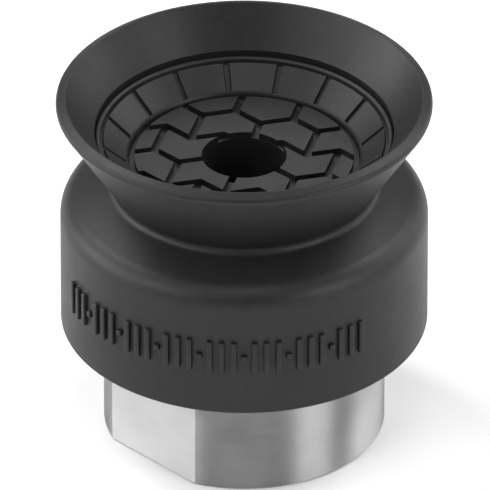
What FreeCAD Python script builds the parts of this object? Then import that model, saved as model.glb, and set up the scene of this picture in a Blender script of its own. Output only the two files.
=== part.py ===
import FreeCAD, Part
import math
import os

# Round vacuum suction cup: an elastomer bell moulded onto a threaded aluminium hub.
# Millimetres. The origin is the centre of the hub's end face and +Z points out of the bell's
# mouth. The hub's two spanner flats face +Y and -Y.

Vector = FreeCAD.Vector
UP = Vector(0, 0, 1)

# Aluminium hub
HUB_RADIUS = 7.7
HUB_ACROSS_FLATS = 14.0
THREAD_MINOR_RADIUS = 4.283  # G1/8 female thread, bored to its minor diameter
THREAD_MAJOR_RADIUS = 4.864
THREAD_DEPTH = 8.4
DRILL_POINT_ANGLE = 118.0
HUB_PORT_RADIUS = 2.0
HUB_TOP = 12.0
ANCHOR_RADIUS = 6.4  # undercut that keys the hub into the elastomer
ANCHOR_LOW = 7.3
ANCHOR_HIGH = 9.3
HEAD_RADIUS = 7.6
HEAD_CHAMFER = 0.6

# Elastomer moulding, outside
BODY_RADIUS = 10.04
BODY_BOTTOM = 6.45
BODY_EDGE_ROUNDING = 0.15
SHOULDER_ROUNDING = 1.35
SHOULDER_SLOPE = 22.0
NECK_RADIUS = 7.15
NECK_HEIGHT = 15.12
NECK_ROUNDING = 0.35
FLARE_RADIUS = 9.91
FLARE_HEIGHT = 19.5
FLARE_ROUNDING = 0.8
RIM_RADIUS = 10.4
RIM_HEIGHT = 20.236
RIM_ROUNDING = 0.3
EDGE_ROUNDING = 0.05

# Elastomer moulding, inside the bell
CROWN_RADIUS = 9.72
CROWN_HEIGHT = 20.6  # where the rim's top slope and the bell's inside would meet without the rounding
CROWN_ROUNDING = 0.22
LIP_FOOT_RADIUS = 8.16
LIP_FOOT_HEIGHT = 18.35
BEAD_CREASE_HEIGHT = 17.88
BEAD_OUTER_RADIUS = 8.08
BEAD_INNER_RADIUS = 7.84
BEAD_TOP = 18.07
BEAD_ROUNDING = 0.15
BEAD_FOOT_RADIUS = 7.79
VALLEY_HEIGHT = 17.76
WALL_EDGE_RADIUS = 7.65
WALL_EDGE_HEIGHT = 17.9
WALL_OUTER_RADIUS = 7.72
WALL_FOOT_RADIUS = 6.33
WALL_FOOT_HEIGHT = 16.76
WALL_FOOT_ROUNDING = 0.5
FLOOR_RADIUS = 6.27
FLOOR_HEIGHT = 16.4
PORT_RADIUS = 2.32

# Drainage slots in the inner wall
SLOT_COUNT = 16
SLOT_FIRST_ANGLE = 120.0
SLOT_WIDTH = 0.3
SLOT_DEPTH = 0.16
SLOT_END_GAP = 0.1

# Tread pads on the floor: zigzag grooves joined by short straight ones
PAD_TOP = 16.75
PAD_OUTER_RADIUS = 5.98
GROOVE_WIDTH = 0.44
TREAD_ANGLE = 30.0
TREAD_HALF_PITCH = 1.63
TREAD_ROW_PITCH = 2.48
TREAD_ROW_OFFSET = 0.09
TREAD_AMPLITUDE = 0.45
TREAD_ROWS = 4
TREAD_REACH = 4  # half pitches each side of the middle
SMALLEST_PAD = 0.02  # cubic millimetres

# The lip ring is the part of the bell that keeps its shape while the skirt below it bends
LIP_RING_LOW = 20.0
BEAD_RING_LOW = 17.5

# Raised index marks on the body
MARK_HEIGHT = 1.95
MARK_MIDDLE = 10.1
MARK_RAISED = 0.2
MARK_STROKE = 0.32
MARK_RIB_PITCH = 0.66
MARK_RIBS = 3
MARK_GROUPS = 8
MARK_GROUP_STEP = 14.0
MARK_FIRST_ANGLE = -108.0

# Larger than the whole part, for cutting tools
REACH = 30.0


def outline_face(corners):
    """A face in the X-Z plane. Each corner is (radius, height, rounding)."""
    points = [Vector(r, 0, z) for r, z, _ in corners]
    starts, ends, edges = [], [], []
    for i, (_, _, rounding) in enumerate(corners):
        here = points[i]
        back = (points[i - 1] - here).normalize()
        ahead = (points[(i + 1) % len(points)] - here).normalize()
        if rounding == 0:
            starts.append(here)
            ends.append(here)
            continue
        half = back.getAngle(ahead) / 2
        reach = rounding / math.tan(half)
        starts.append(here + back * reach)
        ends.append(here + ahead * reach)
        inward = (back + ahead).normalize()
        middle = here + inward * (rounding / math.sin(half) - rounding)
        edges.append(Part.Arc(starts[i], middle, ends[i]).toShape())
    for i, end in enumerate(ends):
        start = starts[(i + 1) % len(starts)]
        if end.distanceToPoint(start) > 1e-6:
            edges.append(Part.makeLine(end, start))
    return Part.Face(Part.Wire(Part.__sortEdges__(edges)))


def turned(corners):
    """The outline turned a full circle about the Z axis."""
    return outline_face(corners).revolve(Vector(), UP, 360)


def tube(inner, outer, low, high):
    """A plain ring between two radii and two heights."""
    base = Vector(0, 0, low)
    ring = Part.makeCylinder(outer, high - low, base)
    if inner == 0:
        return ring
    return ring.cut(Part.makeCylinder(inner, high - low, base))


def spun(shape, angle):
    """A copy turned about the Z axis by an angle in degrees."""
    copy = shape.copy()
    copy.rotate(Vector(), UP, angle)
    return copy


def hub_seat():
    """The hub's outline inside the elastomer, from its top face down to its end of the body."""
    return [
        (HEAD_RADIUS - HEAD_CHAMFER, HUB_TOP, 0),
        (HEAD_RADIUS, HUB_TOP - HEAD_CHAMFER, 0),
        (HEAD_RADIUS, ANCHOR_HIGH, 0),
        (ANCHOR_RADIUS, ANCHOR_HIGH, 0),
        (ANCHOR_RADIUS, ANCHOR_LOW, 0),
        (HUB_RADIUS, ANCHOR_LOW, 0),
        (HUB_RADIUS, BODY_BOTTOM, 0),
    ]


def threaded_hub():
    chamfer_radius = THREAD_MAJOR_RADIUS + 0.1
    tip = (THREAD_MINOR_RADIUS - HUB_PORT_RADIUS) / math.tan(math.radians(DRILL_POINT_ANGLE / 2))
    bore = [
        (chamfer_radius, 0, 0),
        (THREAD_MINOR_RADIUS, chamfer_radius - THREAD_MINOR_RADIUS, 0),
        (THREAD_MINOR_RADIUS, THREAD_DEPTH, 0),
        (HUB_PORT_RADIUS, THREAD_DEPTH + tip, 0),
        (HUB_PORT_RADIUS, HUB_TOP, 0),
    ]
    hub = turned(bore + hub_seat()[:-1] + [(HUB_RADIUS, 0, 0)])
    for side in (1, -1):
        corner = Vector(-REACH / 2, HUB_ACROSS_FLATS / 2, 0)
        flat = Part.makeBox(REACH, REACH, BODY_BOTTOM, corner)
        hub = hub.cut(spun(flat, 90 - 90 * side))
    return hub


def moulding():
    """The whole elastomer part, before it is divided into its working regions."""
    slope = math.tan(math.radians(SHOULDER_SLOPE))
    shoulder_height = NECK_HEIGHT - (BODY_RADIUS - NECK_RADIUS) * slope
    outside = [
        (BODY_RADIUS, BODY_BOTTOM, BODY_EDGE_ROUNDING),
        (BODY_RADIUS, shoulder_height, SHOULDER_ROUNDING),
        (NECK_RADIUS, NECK_HEIGHT, NECK_ROUNDING),
        (FLARE_RADIUS, FLARE_HEIGHT, FLARE_ROUNDING),
        (RIM_RADIUS, RIM_HEIGHT, RIM_ROUNDING),
    ]
    inside = [
        (CROWN_RADIUS, CROWN_HEIGHT, CROWN_ROUNDING),
        (LIP_FOOT_RADIUS, LIP_FOOT_HEIGHT, EDGE_ROUNDING),
        (LIP_FOOT_RADIUS, BEAD_CREASE_HEIGHT, 0),
        (BEAD_OUTER_RADIUS, BEAD_TOP, BEAD_ROUNDING),
        (BEAD_INNER_RADIUS, BEAD_TOP, BEAD_ROUNDING),
        (BEAD_FOOT_RADIUS, VALLEY_HEIGHT, 0),
        (WALL_OUTER_RADIUS, VALLEY_HEIGHT, 0),
        (WALL_EDGE_RADIUS, WALL_EDGE_HEIGHT, 0),
        (WALL_FOOT_RADIUS, WALL_FOOT_HEIGHT, WALL_FOOT_ROUNDING),
        (FLOOR_RADIUS, FLOOR_HEIGHT, 0),
        (PORT_RADIUS, FLOOR_HEIGHT, 0),
        (PORT_RADIUS, HUB_TOP, 0),
    ]
    return turned(outside + inside + hub_seat())


def inner_slot():
    """One slot's cutting tool, in the X-Z plane at angle zero."""
    run_r = WALL_EDGE_RADIUS - WALL_FOOT_RADIUS
    run_z = WALL_EDGE_HEIGHT - WALL_FOOT_HEIGHT
    length = math.hypot(run_r, run_z)
    width = Vector(0, SLOT_WIDTH, 0)
    along = Vector(run_r / length, 0, run_z / length)
    into = Vector(run_z / length, 0, -run_r / length)
    foot = Vector(WALL_FOOT_RADIUS, -SLOT_WIDTH / 2, WALL_FOOT_HEIGHT) + along * SLOT_END_GAP
    head = foot + along * length
    corners = [foot - into, head - into, head + into * SLOT_DEPTH, foot + into * SLOT_DEPTH]
    return Part.Face(Part.makePolygon(corners + corners[:1])).extrude(width)


def slotted_wall(whole):
    wall = whole.common(tube(0, WALL_OUTER_RADIUS, FLOOR_HEIGHT, REACH))
    slot = inner_slot()
    step = 360 / SLOT_COUNT
    return wall.cut([spun(slot, SLOT_FIRST_ANGLE + step * i) for i in range(SLOT_COUNT)])


def groove(start, end):
    """A round-ended cutting tool between two points (u, w) of the tread pattern."""
    u, w = start
    run_u, run_w = end[0] - u, end[1] - w
    length = math.hypot(run_u, run_w)
    depth = PAD_TOP - FLOOR_HEIGHT
    strip = Part.makeBox(length, GROOVE_WIDTH, depth, Vector(0, -GROOVE_WIDTH / 2, 0))
    strip = strip.fuse(Part.makeCylinder(GROOVE_WIDTH / 2, depth))
    strip = strip.fuse(Part.makeCylinder(GROOVE_WIDTH / 2, depth, Vector(length, 0, 0)))
    strip.rotate(Vector(), UP, math.degrees(math.atan2(run_w, run_u)))
    strip.translate(Vector(u, w, FLOOR_HEIGHT))
    return strip


def tread_point(row, step):
    """A zigzag's corner. Rows count down from the top one, and odd steps are peaks."""
    rise = TREAD_AMPLITUDE if step % 2 else -TREAD_AMPLITUDE
    middle = ((TREAD_ROWS - 1) / 2 - row) * TREAD_ROW_PITCH + TREAD_ROW_OFFSET
    return step * TREAD_HALF_PITCH, middle + rise


def grip_pads():
    steps = range(-TREAD_REACH, TREAD_REACH + 1)
    grooves = []
    for row in range(TREAD_ROWS):
        for step in steps[:-1]:
            grooves.append(groove(tread_point(row, step), tread_point(row, step + 1)))
    for row in range(-1, TREAD_ROWS):
        # the straight grooves join peaks and valleys in turn
        for step in steps[row % 2 :: 2]:
            grooves.append(groove(tread_point(row + 1, step), tread_point(row, step)))
    disc = tube(PORT_RADIUS, PAD_OUTER_RADIUS, FLOOR_HEIGHT, PAD_TOP)
    pads = disc.cut([spun(g, TREAD_ANGLE) for g in grooves])
    return Part.makeCompound([s for s in pads.Solids if s.Volume > SMALLEST_PAD])


def index_marks():
    """Plain raised ribs in groups, with a square dot between groups."""
    skin = tube(BODY_RADIUS, BODY_RADIUS + MARK_RAISED, BODY_BOTTOM, NECK_HEIGHT)
    marks = []
    for group in range(MARK_GROUPS):
        angle = MARK_FIRST_ANGLE + group * MARK_GROUP_STEP
        for rib in range(MARK_RIBS):
            aside = (rib - (MARK_RIBS - 1) / 2) * MARK_RIB_PITCH
            turn = angle + math.degrees(aside / BODY_RADIUS)
            corner = Vector(0, -MARK_STROKE / 2, MARK_MIDDLE - MARK_HEIGHT / 2)
            bar = Part.makeBox(REACH, MARK_STROKE, MARK_HEIGHT, corner)
            marks.append(skin.common(spun(bar, turn)))
        if group < MARK_GROUPS - 1:
            corner = Vector(0, -MARK_STROKE / 2, MARK_MIDDLE - MARK_STROKE / 2)
            dot = Part.makeBox(REACH, MARK_STROKE, MARK_STROKE, corner)
            marks.append(skin.common(spun(dot, angle + MARK_GROUP_STEP / 2)))
    return Part.makeCompound([solid for mark in marks for solid in mark.Solids])


def build():
    whole = moulding()
    bead_zone = tube(WALL_OUTER_RADIUS, LIP_FOOT_RADIUS, BEAD_RING_LOW, LIP_FOOT_HEIGHT)
    skirt_zone = tube(WALL_OUTER_RADIUS, REACH, FLOOR_HEIGHT, LIP_RING_LOW)
    rib_zone = tube(0, HEAD_RADIUS, ANCHOR_LOW, ANCHOR_HIGH)
    return {
        "threaded_hub": threaded_hub(),
        "anchor_rib": whole.common(rib_zone),
        "hub_sleeve": whole.common(tube(0, REACH, 0, HUB_TOP)).cut(rib_zone),
        "body_shoulder": whole.common(tube(0, REACH, HUB_TOP, NECK_HEIGHT)),
        "cup_floor": whole.common(tube(0, REACH, NECK_HEIGHT, FLOOR_HEIGHT)),
        "grip_pads": grip_pads(),
        "slotted_wall": slotted_wall(whole),
        "inner_bead": whole.common(bead_zone),
        "bell_skirt": whole.common(skirt_zone).cut(bead_zone),
        "sealing_lip": whole.common(tube(0, REACH, LIP_RING_LOW, REACH)),
        "index_marks": index_marks(),
    }


os.makedirs("parts", exist_ok=True)
for name, shape in build().items():
    solids = shape.Solids
    print(name, len(solids), "solid(s)", round(shape.Volume, 3), "mm3", shape.isValid())
    result = solids[0] if len(solids) == 1 else Part.makeCompound(solids)
    result.exportStep(f"parts/{name}.step")
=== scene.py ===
import math

import bmesh
import bpy
import numpy as np
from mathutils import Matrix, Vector


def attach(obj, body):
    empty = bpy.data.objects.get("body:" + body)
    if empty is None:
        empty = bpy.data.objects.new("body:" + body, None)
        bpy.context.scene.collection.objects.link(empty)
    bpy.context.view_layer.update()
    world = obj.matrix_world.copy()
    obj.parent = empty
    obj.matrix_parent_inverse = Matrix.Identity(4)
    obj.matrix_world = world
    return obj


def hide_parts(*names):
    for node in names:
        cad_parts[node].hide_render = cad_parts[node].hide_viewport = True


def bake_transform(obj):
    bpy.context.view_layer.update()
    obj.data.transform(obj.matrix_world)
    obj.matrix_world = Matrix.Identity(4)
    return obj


# Vacuum suction cup: elastomer moulding, aluminium hub with its thread, tread pads and index ribs.
# Shapes are worked out in millimetres and stored in metres.

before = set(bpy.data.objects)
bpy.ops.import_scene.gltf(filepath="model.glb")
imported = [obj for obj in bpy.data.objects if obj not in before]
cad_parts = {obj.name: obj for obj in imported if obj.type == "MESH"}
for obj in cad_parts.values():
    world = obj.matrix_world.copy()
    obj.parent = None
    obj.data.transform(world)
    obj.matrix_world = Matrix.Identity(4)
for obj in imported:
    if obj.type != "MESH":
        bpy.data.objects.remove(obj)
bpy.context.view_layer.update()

MM = 0.001
TURN = 2 * math.pi

# Elastomer moulding, outside
BODY_RADIUS = 10.04
BODY_BOTTOM = 6.45
BODY_EDGE_ROUNDING = 0.15
SHOULDER_SLOPE = math.radians(22)
SHOULDER_ROUNDING = 1.35
NECK_RADIUS = 7.15
NECK_HEIGHT = 15.12
NECK_ROUNDING = 0.35
FLARE = (9.91, 19.5)
FLARE_ROUNDING = 0.8
RIM = (10.393, 20.236)
RIM_ROUNDING = 0.3
CROWN = (9.72, 20.565)
CROWN_ROUNDING = 0.12

# Elastomer moulding, inside
LIP_FOOT = (8.16, 18.35)
LIP_FOOT_ROUNDING = 0.05
BEAD_CREASE_HEIGHT = 17.88
BEAD_OUTER_RADIUS = 8.08
BEAD_INNER_RADIUS = 7.84
BEAD_TOP = 18.07
BEAD_ROUNDING = 0.15
BEAD_FOOT_RADIUS = 7.79
VALLEY_HEIGHT = 17.76
WALL_OUTER_RADIUS = 7.72
WALL_EDGE = (7.65, 17.9)
WALL_EDGE_ROUNDING = 0.02
WALL_FOOT = (6.33, 16.76)
WALL_FOOT_ROUNDING = 0.5
FLOOR_RADIUS = 6.27
FLOOR_HEIGHT = 16.4
PORT_RADIUS = 2.32
PORT_ROUNDING = 0.06

# Slots in the inner wall
SLOT_COUNT = 16
SLOT_FIRST_ANGLE = math.radians(120)
SLOT_HALF_WIDTH = 0.15
SLOT_MIDDLE_RADIUS = 7.0
SLOT_EDGE = 0.06
SLOT_DEPTH = 0.16
SLOT_END_GAP = 0.1
SLOT_EDGE_COLUMNS = (-0.5, 0, 0.25, 0.5, 0.75, 1, 1.5)
SLOT_GAP_STEPS = 10

# Tread pads
PAD_EDGE = 0.035
PAD_WELD = 0.0001
PAD_MERGE = 0.001
PAD_SUNK = 0.02

# Hub
HUB_RADIUS = 7.7
HUB_HALF_FLATS = 7.0
HUB_TOP = 12.0
HUB_EDGE = 0.1
HEAD_RADIUS = 7.6
HEAD_CHAMFER = 0.6
ANCHOR_RADIUS = 6.4
ANCHOR_LOW = 7.3
ANCHOR_HIGH = 9.3
THREAD_MINOR = 4.283
THREAD_MAJOR = 4.864
THREAD_PITCH = 25.4 / 28
THREAD_END = 8.4
THREAD_RUNOUT = 1.2
MOUTH_RADIUS = 4.964
HUB_PORT_RADIUS = 2.0
DRILL_POINT = math.radians(118)
HUB_COLUMNS = 192
FLAT_EDGE_GAP = 0.004
LEAST_SINE = 0.1

# Index ribs
MARK_HEIGHT = 1.95
MARK_MIDDLE = 10.1
MARK_RAISED = 0.2
MARK_SUNK = 0.05
MARK_STROKE = 0.32
MARK_RIB_PITCH = 0.66
MARK_RIBS = 3
MARK_GROUPS = 8
MARK_GROUP_STEP = math.radians(14)
MARK_FIRST_ANGLE = math.radians(-108)
MARK_EDGE = 0.06

# Tolerance of comparisons, how far from a corner the point that holds its shading lies, and the
# spacing along plain runs
CLOSE = 1e-6
SUPPORT = 0.03
COARSE = 1.0


# ---------------------------------------------------------------- outlines and turned meshes


def outline(corners):
    """Points along a closed outline.

    A corner is its radius, its height, its rounding and the spacing of the run after it."""
    here = [np.array(c[:2], float) for c in corners]
    arcs = [
        corner_arc(here[i - 1], here[i], here[(i + 1) % len(here)], corners[i][2], corners[i][3])
        for i in range(len(here))
    ]
    points = []
    for i, arc in enumerate(arcs):
        points += arc + run_points(arc[-1], arcs[(i + 1) % len(arcs)][0], corners[i][3])
    return np.array(points)


def corner_arc(before, here, after, rounding, spacing):
    """Points round one corner of an outline, or the corner itself where it is sharp."""
    if rounding == 0:
        return [here]
    back = (before - here) / np.linalg.norm(before - here)
    ahead = (after - here) / np.linalg.norm(after - here)
    half = math.acos(float(back @ ahead)) / 2
    start = here + back * rounding / math.tan(half)
    centre = here + (back + ahead) / np.linalg.norm(back + ahead) * rounding / math.sin(half)
    turn = math.pi - 2 * half
    steps = max(4, int(turn / math.radians(8)), int(turn * rounding / spacing))
    spin = math.copysign(turn, back[0] * ahead[1] - back[1] * ahead[0])
    arm = start - centre
    return [centre + rotated(arm, -spin * k / steps) for k in range(steps + 1)]


def rotated(arm, angle):
    """A flat vector turned by an angle."""
    cosine, sine = math.cos(angle), math.sin(angle)
    return np.array([arm[0] * cosine - arm[1] * sine, arm[0] * sine + arm[1] * cosine])


def run_points(start, goal, spacing):
    """Points between the ends of a straight run, with one close to each end to hold its shading."""
    length = float(np.linalg.norm(goal - start))
    if length < CLOSE:
        return []
    support = min(SUPPORT, length / 4)
    count = max(1, int(round((length - 2 * support) / spacing)))
    shares = [(support + (length - 2 * support) * k / count) / length for k in range(count + 1)]
    return [start + (goal - start) * s for s in shares]


def turned_mesh(name, radii, heights, angles):
    """A closed mesh from grids of radius and height (rows, columns), in millimetres."""
    rows, columns = radii.shape
    points = np.stack([radii * np.cos(angles), radii * np.sin(angles), heights], axis=-1) * MM
    i, j = np.meshgrid(np.arange(rows), np.arange(columns), indexing="ij")
    below, right = (i + 1) % rows, (j + 1) % columns
    here, under = i * columns, below * columns
    faces = np.stack([here + j, here + right, under + right, under + j], axis=-1)
    return mesh_object(name, points.reshape(-1, 3), faces.reshape(-1, 4))


def mesh_object(name, points, faces):
    mesh = bpy.data.meshes.new(name)
    mesh.from_pydata([tuple(p) for p in points], [], [tuple(int(k) for k in f) for f in faces])
    mesh.validate()
    obj = bpy.data.objects.new(name, mesh)
    bpy.context.scene.collection.objects.link(obj)
    return obj


def built_object(name, shaped):
    """An object from a mesh built in bmesh."""
    mesh = bpy.data.meshes.new(name)
    shaped.to_mesh(mesh)
    shaped.free()
    obj = bpy.data.objects.new(name, mesh)
    bpy.context.scene.collection.objects.link(obj)
    return obj


def shade(obj, sharp_angle):
    """Smooth shading with sharp edges above an angle, and faces turned outwards."""
    shaped = bmesh.new()
    shaped.from_mesh(obj.data)
    bmesh.ops.recalc_face_normals(shaped, faces=shaped.faces)
    shaped.to_mesh(obj.data)
    shaped.free()
    obj.data.shade_smooth()
    obj.data.set_sharp_from_angle(angle=math.radians(sharp_angle))


def smooth(t):
    """0 below 0, 1 above 1, and an even curve between."""
    t = np.clip(t, 0, 1)
    return t * t * (3 - 2 * t)


# ---------------------------------------------------------------- elastomer moulding


def hub_seat():
    """The outline shared by the hub and the elastomer, from the hub's top down."""
    return [
        (HEAD_RADIUS - HEAD_CHAMFER, HUB_TOP, 0, COARSE),
        (HEAD_RADIUS, HUB_TOP - HEAD_CHAMFER, 0, COARSE),
        (HEAD_RADIUS, ANCHOR_HIGH, 0, COARSE),
        (ANCHOR_RADIUS, ANCHOR_HIGH, 0, COARSE),
        (ANCHOR_RADIUS, ANCHOR_LOW, 0, COARSE),
        (HUB_RADIUS, ANCHOR_LOW, 0, COARSE),
        (HUB_RADIUS, BODY_BOTTOM, 0, COARSE),
    ]


def moulding_corners():
    shoulder = NECK_HEIGHT - (BODY_RADIUS - NECK_RADIUS) * math.tan(SHOULDER_SLOPE)
    return [
        (BODY_RADIUS, BODY_BOTTOM, BODY_EDGE_ROUNDING, COARSE),
        (BODY_RADIUS, shoulder, SHOULDER_ROUNDING, 0.4),
        (NECK_RADIUS, NECK_HEIGHT, NECK_ROUNDING, 0.2),
        (*FLARE, FLARE_ROUNDING, 0.08),
        (*RIM, RIM_ROUNDING, 0.12),
        (*CROWN, CROWN_ROUNDING, 0.12),
        (*LIP_FOOT, LIP_FOOT_ROUNDING, 0.1),
        (LIP_FOOT[0], BEAD_CREASE_HEIGHT, 0, 0.05),
        (BEAD_OUTER_RADIUS, BEAD_TOP, BEAD_ROUNDING, 0.05),
        (BEAD_INNER_RADIUS, BEAD_TOP, BEAD_ROUNDING, 0.05),
        (BEAD_FOOT_RADIUS, VALLEY_HEIGHT, 0, 0.1),
        (WALL_OUTER_RADIUS, VALLEY_HEIGHT, 0, 0.05),
        (*WALL_EDGE, WALL_EDGE_ROUNDING, 0.04),
        (*WALL_FOOT, WALL_FOOT_ROUNDING, 0.03),
        (FLOOR_RADIUS, FLOOR_HEIGHT, 0, COARSE),
        (PORT_RADIUS, FLOOR_HEIGHT, PORT_ROUNDING, 0.5),
        (PORT_RADIUS, HUB_TOP, 0, COARSE),
    ] + hub_seat()


def slot_columns():
    """Column angles all round, close together at the edges of every slot."""
    edge = SLOT_HALF_WIDTH + SLOT_EDGE / 2 - SLOT_EDGE * np.array(SLOT_EDGE_COLUMNS)
    half = np.concatenate([edge, [SLOT_HALF_WIDTH / 3]]) / SLOT_MIDDLE_RADIUS
    near = np.concatenate([-half, half[::-1]])
    pitch = TURN / SLOT_COUNT
    between = np.linspace(near[-1], pitch + near[0], SLOT_GAP_STEPS + 1)[1:-1]
    one = np.concatenate([near, between])
    return np.concatenate([SLOT_FIRST_ANGLE + k * pitch + one for k in range(SLOT_COUNT)])


def cut_slots(points, angles):
    """Grids of radius and height with the slots pressed into the inner wall."""
    radius, height = points[:, :1], points[:, 1:]
    edge, foot = np.array(WALL_EDGE), np.array(WALL_FOOT)
    along = (edge - foot) / np.linalg.norm(edge - foot)
    into = np.array([along[1], -along[0]])
    run = (radius - foot[0]) * along[0] + (height - foot[1]) * along[1]
    sunk = (radius - foot[0]) * into[0] + (height - foot[1]) * into[1]
    pitch = TURN / SLOT_COUNT
    across = (angles - SLOT_FIRST_ANGLE + pitch / 2) % pitch - pitch / 2
    inside = SLOT_HALF_WIDTH + SLOT_EDGE / 2 - np.abs(across) * SLOT_MIDDLE_RADIUS
    share = smooth(inside / SLOT_EDGE) * smooth((run - SLOT_END_GAP + SLOT_EDGE / 2) / SLOT_EDGE)
    on_wall = (radius > FLOOR_RADIUS) & (radius < WALL_OUTER_RADIUS) & (height < BEAD_TOP)
    depth = np.where(on_wall & (height > FLOOR_HEIGHT), share * np.maximum(SLOT_DEPTH - sunk, 0), 0)
    cut_radius = np.minimum(radius + into[0] * depth, np.maximum(radius, WALL_OUTER_RADIUS))
    return cut_radius, height + into[1] * depth


def make_moulding():
    angles = slot_columns()
    radii, heights = cut_slots(outline(moulding_corners()), angles)
    obj = turned_mesh("cup_moulding", radii, heights, angles)
    shade(obj, sharp_angle=75)
    return obj


# ---------------------------------------------------------------- hub


def hub_corners():
    tip = (THREAD_MINOR - HUB_PORT_RADIUS) / math.tan(DRILL_POINT / 2)
    bore = [
        (MOUTH_RADIUS, 0, 0, 0.06),
        (THREAD_MINOR, MOUTH_RADIUS - THREAD_MINOR, 0, 0.06),
        (THREAD_MINOR, THREAD_END, 0, 0.3),
        (HUB_PORT_RADIUS, THREAD_END + tip, 0, 0.5),
        (HUB_PORT_RADIUS, HUB_TOP, 0, COARSE),
    ]
    outside = [
        (HUB_RADIUS, HUB_EDGE, 0, COARSE),
        (HUB_RADIUS - HUB_EDGE, 0, 0, COARSE),
    ]
    return bore + hub_seat() + outside


def hub_columns():
    """Even columns, with two extra ones beside each edge of the spanner flats."""
    corner = math.asin(HUB_HALF_FLATS / HUB_RADIUS)
    edges = [corner, math.pi - corner, math.pi + corner, TURN - corner]
    close = [e + d for e in edges for d in (-FLAT_EDGE_GAP, 0, FLAT_EDGE_GAP)]
    steps = np.arange(HUB_COLUMNS) * TURN / HUB_COLUMNS
    even = [a for a in steps if min(abs(a - c) for c in close) > 2.5 * FLAT_EDGE_GAP]
    return np.array(sorted(close + even))


def cut_thread(radius, height, angles):
    """The bore's radius with the turns of the thread, which fade out before the bore ends."""
    phase = height / THREAD_PITCH - angles / TURN
    fade = smooth((THREAD_END - height) / THREAD_RUNOUT)
    turns = THREAD_MINOR + (THREAD_MAJOR - THREAD_MINOR) * (0.5 + 0.5 * np.cos(TURN * phase)) * fade
    return np.maximum(turns, radius)


def cut_flats(radii, radius, height, angles):
    """The radii with the two spanner flats cut below the body, and the end face drawn in to match."""
    reach = np.maximum(np.abs(np.sin(angles)), LEAST_SINE)
    outer = (radius > MOUTH_RADIUS + HUB_EDGE) & (height < BODY_BOTTOM - CLOSE)
    flats = (HUB_HALF_FLATS - (HUB_RADIUS - radius)) / reach
    face_edge = HUB_RADIUS - HUB_EDGE
    face = outer & (height < CLOSE) & (radius < face_edge - CLOSE)
    share = np.clip((radius - MOUTH_RADIUS) / (face_edge - MOUTH_RADIUS), 0, 1)
    limit = np.minimum((HUB_HALF_FLATS - HUB_EDGE) / reach, face_edge)
    radii = np.where(outer, np.minimum(radii, flats), radii)
    return np.where(face, MOUTH_RADIUS + share * (limit - MOUTH_RADIUS), radii)


def make_hub():
    angles = hub_columns()
    points = outline(hub_corners())
    radius, height = np.broadcast_arrays(points[:, :1], points[:, 1:])
    in_bore = (radius >= THREAD_MINOR - CLOSE) & (radius <= MOUTH_RADIUS)
    threaded = in_bore & (height < THREAD_END + CLOSE)
    rows = (len(points), len(angles))
    radii = np.where(threaded, cut_thread(radius, height, angles), np.broadcast_to(radius, rows))
    radii = cut_flats(radii, radius, height, angles)
    obj = turned_mesh("threaded_hub_turned", radii, np.broadcast_to(height, rows), angles)
    shade(obj, sharp_angle=22)
    return obj


# ---------------------------------------------------------------- pads and ribs


def make_pads():
    """The tread pads, copied from the CAD pads, with soft top edges, sunk a little into the floor."""
    shaped = bmesh.new()
    shaped.from_mesh(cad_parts["grip_pads"].data)
    bmesh.ops.remove_doubles(shaped, verts=shaped.verts, dist=PAD_WELD * MM)
    bmesh.ops.dissolve_limit(
        shaped, angle_limit=math.radians(1), verts=shaped.verts, edges=shaped.edges
    )
    top = max(v.co.z for v in shaped.verts)
    rim = [e for e in shaped.edges if is_pad_edge(e, top)]
    bmesh.ops.bevel(
        shaped, geom=rim, offset=PAD_EDGE * MM, segments=2, profile=0.5,
        affect="EDGES", clamp_overlap=True,
    )
    bmesh.ops.dissolve_degenerate(shaped, dist=PAD_MERGE * MM, edges=shaped.edges)
    for vert in shaped.verts:
        if vert.co.z < (FLOOR_HEIGHT + PAD_SUNK / 2) * MM:
            vert.co.z -= PAD_SUNK * MM
    obj = built_object("grip_tread", shaped)
    obj.data.attributes.remove(obj.data.attributes["custom_normal"])
    shade(obj, sharp_angle=20)
    return obj


def is_pad_edge(edge, top):
    on_top = all(abs(v.co.z - top) < PAD_MERGE * MM for v in edge.verts)
    return on_top and len(edge.link_faces) == 2 and edge.calc_face_angle() > math.radians(45)


def make_ribs():
    """Plain ribs in groups of three, with a square dot between groups."""
    shaped = bmesh.new()
    for group in range(MARK_GROUPS):
        angle = MARK_FIRST_ANGLE + group * MARK_GROUP_STEP
        for rib in range(MARK_RIBS):
            aside = (rib - (MARK_RIBS - 1) / 2) * MARK_RIB_PITCH
            add_mark(shaped, angle + aside / BODY_RADIUS, MARK_HEIGHT)
        if group < MARK_GROUPS - 1:
            add_mark(shaped, angle + MARK_GROUP_STEP / 2, MARK_STROKE)
    obj = built_object("index_ribs", shaped)
    shade(obj, sharp_angle=50)
    return obj


def add_mark(shaped, angle, tall):
    """One block with rounded edges, wrapped onto the body's side."""
    made = bmesh.ops.create_cube(shaped, size=1)["verts"]
    deep = MARK_RAISED + MARK_SUNK
    for vert in made:
        vert.co = Vector((
            vert.co.x * MARK_STROKE,
            (vert.co.y + 0.5) * deep - MARK_SUNK,
            vert.co.z * tall,
        ))
    edges = {e for v in made for e in v.link_edges if all(w.co.y > -MARK_SUNK / 2 for w in e.verts)}
    edges |= {e for v in made for e in v.link_edges if abs(e.verts[0].co.y - e.verts[1].co.y) > MARK_SUNK}
    made_edges = bmesh.ops.bevel(
        shaped, geom=list(edges), offset=MARK_EDGE, segments=3, profile=0.5, affect="EDGES"
    )
    verts = {v for v in made if v.is_valid} | set(made_edges["verts"])
    for vert in verts:
        turn = angle + vert.co.x / BODY_RADIUS
        radius = BODY_RADIUS + vert.co.y
        height = MARK_MIDDLE + vert.co.z
        vert.co = Vector((radius * math.cos(turn), radius * math.sin(turn), height)) * MM


# ---------------------------------------------------------------- materials


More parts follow.
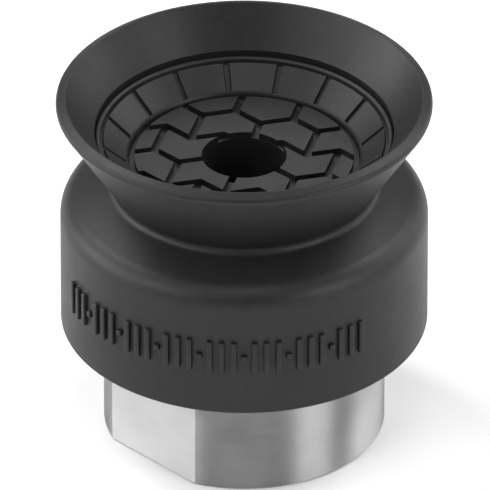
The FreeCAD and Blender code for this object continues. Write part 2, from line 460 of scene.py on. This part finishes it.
def new_material(name):
    material = bpy.data.materials.new(name)
    material.use_nodes = True
    nodes = material.node_tree.nodes
    return material, nodes, material.node_tree.links, nodes["Principled BSDF"]


def noise(nodes, links, vector, scale, detail, rough=0.5):
    made = nodes.new("ShaderNodeTexNoise")
    made.inputs["Scale"].default_value = scale
    made.inputs["Detail"].default_value = detail
    made.inputs["Roughness"].default_value = rough
    links.new(vector, made.inputs["Vector"])
    return made.outputs["Fac"]


def ranged(nodes, links, value, low, high):
    """A noise value spread over a range."""
    made = nodes.new("ShaderNodeMapRange")
    made.inputs["From Min"].default_value = 0.3
    made.inputs["From Max"].default_value = 0.7
    made.inputs["To Min"].default_value = low
    made.inputs["To Max"].default_value = high
    links.new(value, made.inputs["Value"])
    return made.outputs["Result"]


def grey(nodes, links, value, low, high):
    """A colour between two greys."""
    made = nodes.new("ShaderNodeMix")
    made.data_type = "RGBA"
    made.inputs["A"].default_value = (low, low, low * 1.01, 1)
    made.inputs["B"].default_value = (high, high, high * 1.01, 1)
    links.new(ranged(nodes, links, value, 0, 1), made.inputs["Factor"])
    return made.outputs["Result"]


def bump(nodes, links, height, distance, below=None):
    made = nodes.new("ShaderNodeBump")
    made.inputs["Distance"].default_value = distance
    links.new(height, made.inputs["Height"])
    if below:
        links.new(below, made.inputs["Normal"])
    return made.outputs["Normal"]


def elastomer():
    """Moulded nitrile rubber: dark grey, satin, with a faint uneven flow and a fine grain."""
    material, nodes, links, shader = new_material("moulded_elastomer")
    place = nodes.new("ShaderNodeTexCoord").outputs["Object"]
    flow = noise(nodes, links, place, scale=420, detail=3)
    grain = noise(nodes, links, place, scale=6000, detail=2)
    bloom = noise(nodes, links, place, scale=1500, detail=4, rough=0.6)
    links.new(grey(nodes, links, bloom, low=0.007, high=0.010), shader.inputs["Base Color"])
    links.new(ranged(nodes, links, flow, low=0.46, high=0.52), shader.inputs["Roughness"])
    shader.inputs["IOR"].default_value = 1.39
    coarse = bump(nodes, links, flow, distance=0.03 * MM)
    fine = bump(nodes, links, grain, distance=0.008 * MM, below=coarse)
    links.new(fine, shader.inputs["Normal"])
    return material


def aluminium():
    """Turned aluminium: fine rings from the tool, and slightly uneven brightness."""
    material, nodes, links, shader = new_material("turned_aluminium")
    place = nodes.new("ShaderNodeTexCoord").outputs["Object"]
    stretch = nodes.new("ShaderNodeMapping")
    stretch.inputs["Scale"].default_value = (0.04, 0.04, 1)
    links.new(place, stretch.inputs["Vector"])
    rings = noise(nodes, links, stretch.outputs["Vector"], scale=14000, detail=3, rough=0.6)
    cloud = noise(nodes, links, place, scale=500, detail=3)
    links.new(grey(nodes, links, cloud, low=0.38, high=0.42), shader.inputs["Base Color"])
    links.new(ranged(nodes, links, rings, low=0.45, high=0.52), shader.inputs["Roughness"])
    shader.inputs["Metallic"].default_value = 1.0
    shader.inputs["Anisotropic"].default_value = 1.0
    shader.inputs["Anisotropic Rotation"].default_value = 0.25
    around = nodes.new("ShaderNodeTangent")
    around.direction_type = "RADIAL"
    around.axis = "Z"
    links.new(around.outputs["Tangent"], shader.inputs["Tangent"])
    links.new(bump(nodes, links, rings, distance=0.002 * MM), shader.inputs["Normal"])
    return material


def paper():
    """The pale floor."""
    material, nodes, links, shader = new_material("pale_floor")
    place = nodes.new("ShaderNodeTexCoord").outputs["Object"]
    cloud = noise(nodes, links, place, scale=60, detail=2)
    links.new(grey(nodes, links, cloud, low=0.86, high=0.88), shader.inputs["Base Color"])
    shader.inputs["Roughness"].default_value = 0.9
    return material


# ---------------------------------------------------------------- stage


# The camera turns about the cup's middle and looks a little to the right of it and above it
ELEVATION = math.radians(32.7)
AZIMUTH = math.radians(45)
DISTANCE = 0.95
AIM_HEIGHT = 0.0105
AIM_RIGHT = 0.000045
AIM_UP = 0.000353
LENS = 1277.6
SENSOR = 36

# Lights and floor, in metres
LIGHT_DISTANCE = 1.2
FLOOR_HALF_WIDTH = 1.5
FLOOR_GAP = 0.00002
WORLD_STRENGTH = 0.09


def view_frame():
    """Unit vectors to the camera, to the right and up in its picture."""
    toward = Vector((
        math.sin(AZIMUTH) * math.cos(ELEVATION),
        -math.cos(AZIMUTH) * math.cos(ELEVATION),
        math.sin(ELEVATION),
    ))
    right = Vector((math.cos(AZIMUTH), math.sin(AZIMUTH), 0))
    return toward, right, toward.cross(right)


def add_camera():
    toward, right, up = view_frame()
    middle = Vector((0, 0, AIM_HEIGHT))
    aim = middle + right * AIM_RIGHT + up * AIM_UP
    data = bpy.data.cameras.new("camera")
    data.lens = LENS
    data.sensor_width = SENSOR
    data.clip_start = 0.05
    data.clip_end = 10
    camera = bpy.data.objects.new("camera", data)
    bpy.context.scene.collection.objects.link(camera)
    camera.location = middle + toward * DISTANCE
    camera.rotation_euler = (camera.location - aim).to_track_quat("Z", "Y").to_euler()
    bpy.context.scene.camera = camera


def add_light(name, around, height, width, tall, power):
    """A soft light. around: degrees from the camera's side, positive to its right. height: degrees
    above the floor. width and tall: metres. power: watts."""
    angle = AZIMUTH - math.pi / 2 + math.radians(around)
    rise = math.radians(height)
    spot = Vector((
        math.cos(angle) * math.cos(rise),
        math.sin(angle) * math.cos(rise),
        math.sin(rise),
    )) * LIGHT_DISTANCE
    data = bpy.data.lights.new(name, "AREA")
    data.shape = "RECTANGLE"
    data.size = width
    data.size_y = tall
    data.energy = power
    light = bpy.data.objects.new(name, data)
    bpy.context.scene.collection.objects.link(light)
    light.location = spot + Vector((0, 0, AIM_HEIGHT))
    light.rotation_euler = spot.to_track_quat("Z", "Y").to_euler()


def add_floor():
    half = FLOOR_HALF_WIDTH
    corners = [(-half, -half, 0), (half, -half, 0), (half, half, 0), (-half, half, 0)]
    floor = mesh_object("floor", corners, [(0, 1, 2, 3)])
    floor.location.z = -FLOOR_GAP
    floor.data.materials.append(paper())


def add_lights():
    """Soft lights on both sides, above and behind, in a dim white studio."""
    world = bpy.data.worlds.new("studio")
    world.use_nodes = True
    background = world.node_tree.nodes["Background"]
    background.inputs["Color"].default_value = (1, 1, 1, 1)
    background.inputs["Strength"].default_value = WORLD_STRENGTH
    bpy.context.scene.world = world
    bpy.context.scene.view_settings.view_transform = "Standard"
    add_light("light_left", -96, 16, 1.0, 0.5, 11.5)
    add_light("light_left_high", -126, 48, 0.5, 0.4, 8.5)
    add_light("light_left_front", -50, 32, 0.4, 0.4, 4.2)
    add_light("light_right_front", 56, 22, 0.6, 0.4, 6.2)
    add_light("light_right", 114, 18, 0.9, 0.5, 5.2)
    add_light("light_right_high", 124, 48, 0.5, 0.4, 6.5)
    add_light("light_back", 180, 38, 0.5, 0.5, 2.2)
    add_light("light_top", 0, 68, 0.6, 0.6, 4.2)


# ---------------------------------------------------------------- the cup


def dress(obj, material, nodes):
    obj.data.materials.clear()
    obj.data.materials.append(material)
    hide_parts(*nodes)


rubber = elastomer()
metal = aluminium()

moulding = make_moulding()
dress(moulding, rubber, [
    "anchor_rib", "hub_sleeve", "body_shoulder", "cup_floor", "slotted_wall", "inner_bead",
    "bell_skirt", "sealing_lip",
])
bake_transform(moulding)

pads = make_pads()
dress(pads, rubber, ["grip_pads"])
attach(pads, "cup_base")

ribs = make_ribs()
dress(ribs, rubber, ["index_marks"])
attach(ribs, "cup_base")

hub = make_hub()
dress(hub, metal, ["threaded_hub"])
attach(hub, "cup_base")

add_floor()
add_lights()
add_camera()
